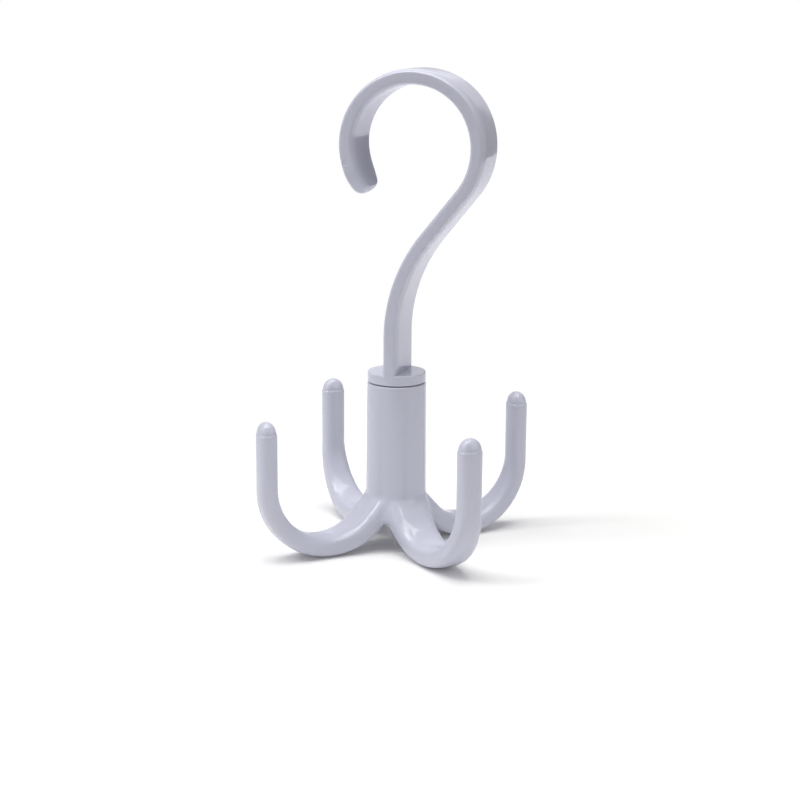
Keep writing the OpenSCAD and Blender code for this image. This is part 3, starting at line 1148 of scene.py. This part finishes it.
            last_edges += [bm.edges.get((ring[i], ring[(i + 1) % len(ring)])) for i in range(len(ring))]
        bmesh.ops.triangle_fill(bm, edges=last_edges, use_beauty=True)
        bmesh.ops.recalc_face_normals(bm, faces=bm.faces)
        bm.to_mesh(mesh)
        bm.free()

    @staticmethod
    def turned(v: BMVert, r: float, z: float) -> Vector:
        """Gives the place at a radius and a height that has a vertex's own bearing."""
        a = math.atan2(v.co.y, v.co.x)
        return Vector((r * math.cos(a), r * math.sin(a), z)) * MM

    @staticmethod
    def open_loops(bm: BMesh) -> list[list[BMVert]]:
        """Finds the loops of vertices along the mesh's open edges.

        Args:
            bm: The mesh.

        Returns:
            The vertices of each loop, in order.
        """
        edges = dict.fromkeys(e for e in bm.edges if len(e.link_faces) == 1)
        loops = []
        while edges:
            edge = next(iter(edges))
            start, now = edge.verts
            loop = [start]
            del edges[edge]
            while now is not start:
                loop.append(now)
                edge = next(e for e in now.link_edges if e in edges)
                del edges[edge]
                now = edge.other_vert(now)
            loops.append(loop)
        return loops

    def set_normals(self, mesh: Mesh) -> None:
        """Gives the blended skin the normals of its own rule, so that its gloss runs without ripples.

        Args:
            mesh: The body's mesh, changed in place.
        """
        points, rounding, least = points_of(mesh), 0.01, 1e-9
        ruled = self.ruled(points, rounding)
        normals = np.zeros_like(points)
        grad = self.steepest(points[ruled])
        normals[ruled] = grad / np.maximum(np.linalg.norm(grad, axis=1), least)[:, None]
        mesh.normals_split_custom_set_from_vertices(normals.tolist())

    def dress(self, piece: Object) -> None:
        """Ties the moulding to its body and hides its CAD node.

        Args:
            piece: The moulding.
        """
        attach(piece, Body.CLAWS.value)
        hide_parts("claw_body")


@dataclass(frozen=True)
class Softbox:
    """A flat lamp that faces the hanger.

    Its bearing is in degrees to the right of the camera's own, its height in degrees above the floor,
    its sides in metres and its power in watts.
    """

    name: str
    bearing: float
    height: float
    sides: Point2
    power: float


@dataclass
class Studio:
    """White sweep, soft lights and the camera.

    Places and lengths are in millimetres. Reflections see a room of its own: a backdrop that the camera
    faces, brighter above, a ceiling and a left wall. Its ramps read the direction of a ray, which is its
    share upwards, its share to the right or, for what lies ahead, the cosine to the camera's bearing.
    """

    bearing: float = -28.789
    distance: float = 538.932
    height: float = 177.919
    aside: float = 1.132
    pitch: float = 13.342
    roll: float = 0.358
    focal_px: float = 1644.533
    sensor_mm: float = 36.0
    clip_m: Point2 = (0.01, 50.0)
    table_right: float = 520.0
    table_left: float = 450.0
    table_front: float = 260.0
    table_back: float = 3000.0
    fill: float = 0.222
    least_level: float = 0.001
    backdrop_half: float = 26.5
    backdrop_fade: float = 1.0
    backdrop_level: float = 0.58
    upper_backdrop: Ramp = Ramp(0.12, 0.24, high=0.4)
    upper_backdrop_ahead: Ramp = Ramp(0.97, 0.99)
    ceiling: Ramp = Ramp(0.45, 0.85, 0.12, 0.7)
    left_wall: Ramp = Ramp(0.0, -0.7, high=0.25)
    lamps_aim: float = 70.0
    lamps_away: float = 900.0
    lamps: tuple[Softbox, ...] = (
        Softbox("top_softbox", 0, 88, (0.8, 0.8), 7.05),
        Softbox("key_softbox", -78, 52, (0.3, 0.5), 2.6),
        Softbox("left_softbox", -75, 18, (1.1, 0.6), 1.2),
        Softbox("right_fill", 60, 20, (0.4, 0.6), 1.05))

    def add_camera(self) -> None:
        """Sets the camera at the photograph's place, angle and focal length."""
        data = bpy.data.cameras.new("camera")
        data.sensor_width = self.sensor_mm
        data.lens = self.focal_px / IMAGE_SIDE * self.sensor_mm
        data.clip_start, data.clip_end = self.clip_m
        camera = shown("camera", data)
        turn = Matrix.Rotation(math.radians(self.bearing), 4, "Z")
        place = Matrix.Translation(Vector((self.aside, -self.distance, self.height)) * MM)
        tilt = Matrix.Rotation(math.radians(90 - self.pitch), 4, "X")
        camera.matrix_world = turn @ place @ tilt @ Matrix.Rotation(math.radians(self.roll), 4, "Z")
        bpy.context.scene.camera = camera

    def add_lamp(self, box: Softbox) -> None:
        """Adds a softbox that faces the hanger.

        Args:
            box: The softbox.
        """
        data = bpy.data.lights.new(box.name, "AREA")
        data.shape, data.energy = "RECTANGLE", box.power
        data.size, data.size_y = box.sides
        lamp = shown(box.name, data)
        a, e = math.radians(self.bearing + box.bearing), math.radians(box.height)
        back = Vector((math.sin(a) * math.cos(e), -math.cos(a) * math.cos(e), math.sin(e)))
        lamp.location = Vector((0, 0, self.lamps_aim * MM)) + back * self.lamps_away * MM
        lamp.rotation_mode = "QUATERNION"
        lamp.rotation_quaternion = (-back).to_track_quat("-Z", "Y")

    def add_world(self) -> None:
        """Makes the surroundings white to the eye, a room in reflections, and a soft fill as light."""
        world = bpy.data.worlds.new("studio")
        bpy.context.scene.world = world
        tree = emptied(world)
        rays = add_node(tree, "ShaderNodeLightPath").outputs
        way = add_node(tree, "ShaderNodeTexCoord").outputs["Generated"]
        way = add_node(tree, "ShaderNodeMapping", {
            "Vector": way, "Rotation": (0.0, 0.0, math.radians(-self.bearing))})
        right, behind, up = add_node(tree, "ShaderNodeSeparateXYZ", (way,)).outputs
        level = add_node(tree, MATH, (up, up), operation="MULTIPLY")
        level = add_node(tree, MATH, (1.0, level), operation="SUBTRACT")
        level = add_node(tree, MATH, (level,), operation="SQRT")
        level = add_node(tree, MATH, (level, self.least_level), operation="MAXIMUM")
        facing = add_node(tree, MATH, (behind, level), operation="DIVIDE")
        high = add_node(tree, "ShaderNodeMapRange", self.upper_backdrop.inputs(up))
        ahead = add_node(tree, "ShaderNodeMapRange", self.upper_backdrop_ahead.inputs(facing))
        more = add_node(tree, MATH, (high, ahead), operation="MULTIPLY")
        bright = add_node(tree, MATH, (more, self.backdrop_level), operation="ADD")
        edge = Ramp(math.cos(math.radians(self.backdrop_half + self.backdrop_fade)),
                    math.cos(math.radians(self.backdrop_half - self.backdrop_fade)), high=bright)
        backdrop = add_node(tree, "ShaderNodeMapRange", edge.inputs(facing))
        ceiling = add_node(tree, "ShaderNodeMapRange", self.ceiling.inputs(up))
        wall = add_node(tree, "ShaderNodeMapRange", self.left_wall.inputs(right))
        others = add_node(tree, MATH, (ceiling, wall), operation="ADD")
        room = add_node(tree, MATH, (backdrop, others), operation="MAXIMUM")
        lit = add_node(tree, "ShaderNodeMix", {
            "Factor": rays["Is Glossy Ray"], "A": self.fill, "B": room}, data_type="FLOAT")
        seen = add_node(tree, MATH, (
            rays["Is Camera Ray"], rays["Is Transmission Ray"]), operation="MAXIMUM")
        strength = add_node(tree, "ShaderNodeMix", {"Factor": seen, "A": lit, "B": 1.0}, data_type="FLOAT")
        tint = add_node(tree, "ShaderNodeMix", {
            "Factor": rays["Is Glossy Ray"], "A": PLAIN_WHITE, "B": COOL_WHITE}, data_type="RGBA")
        back = add_node(tree, "ShaderNodeBackground", {"Color": tint, "Strength": strength})
        add_node(tree, "ShaderNodeOutputWorld", {"Surface": back})

    def add_floor(self) -> None:
        """Lays the floor, which keeps the shadow and goes over into plain white."""
        corners = [(x, y, 0) for x, y in (
            (-self.table_left, -self.table_front), (self.table_right, -self.table_front),
            (self.table_right, self.table_back), (-self.table_left, self.table_back))]
        floor = new_piece("floor", corners, [(0, 1, 2, 3)])
        floor.data.transform(Matrix.Rotation(math.radians(self.bearing), 4, "Z"))
        floor.data.materials.append(WhiteCard().material("white_card"))

    def build(self) -> None:
        """Sets up the whole studio."""
        bpy.context.scene.view_settings.view_transform = "Standard"
        self.add_camera()
        self.add_world()
        self.add_floor()
        for box in self.lamps:
            self.add_lamp(box)


def main() -> None:
    """Builds the hanger and its studio."""
    logging.basicConfig(level=logging.INFO, format="%(name)s: %(message)s")
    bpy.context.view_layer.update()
    finish = MouldedPolypropylene()
    for assembly, look, marks in (
            (StripHook(), "glossy_moulded_polypropylene_hook", [Mark.GATE_DIMPLE]),
            (ClawBody(), "glossy_moulded_polypropylene_claws", [Mark.DOME_LEDGE])):
        piece = assembly.build(finish.material(look, marks))
        assembly.dress(piece)
        log.info("%s: %d faces", piece.name, len(piece.data.polygons))
    Studio().build()


if __name__ == "__main__":
    main()
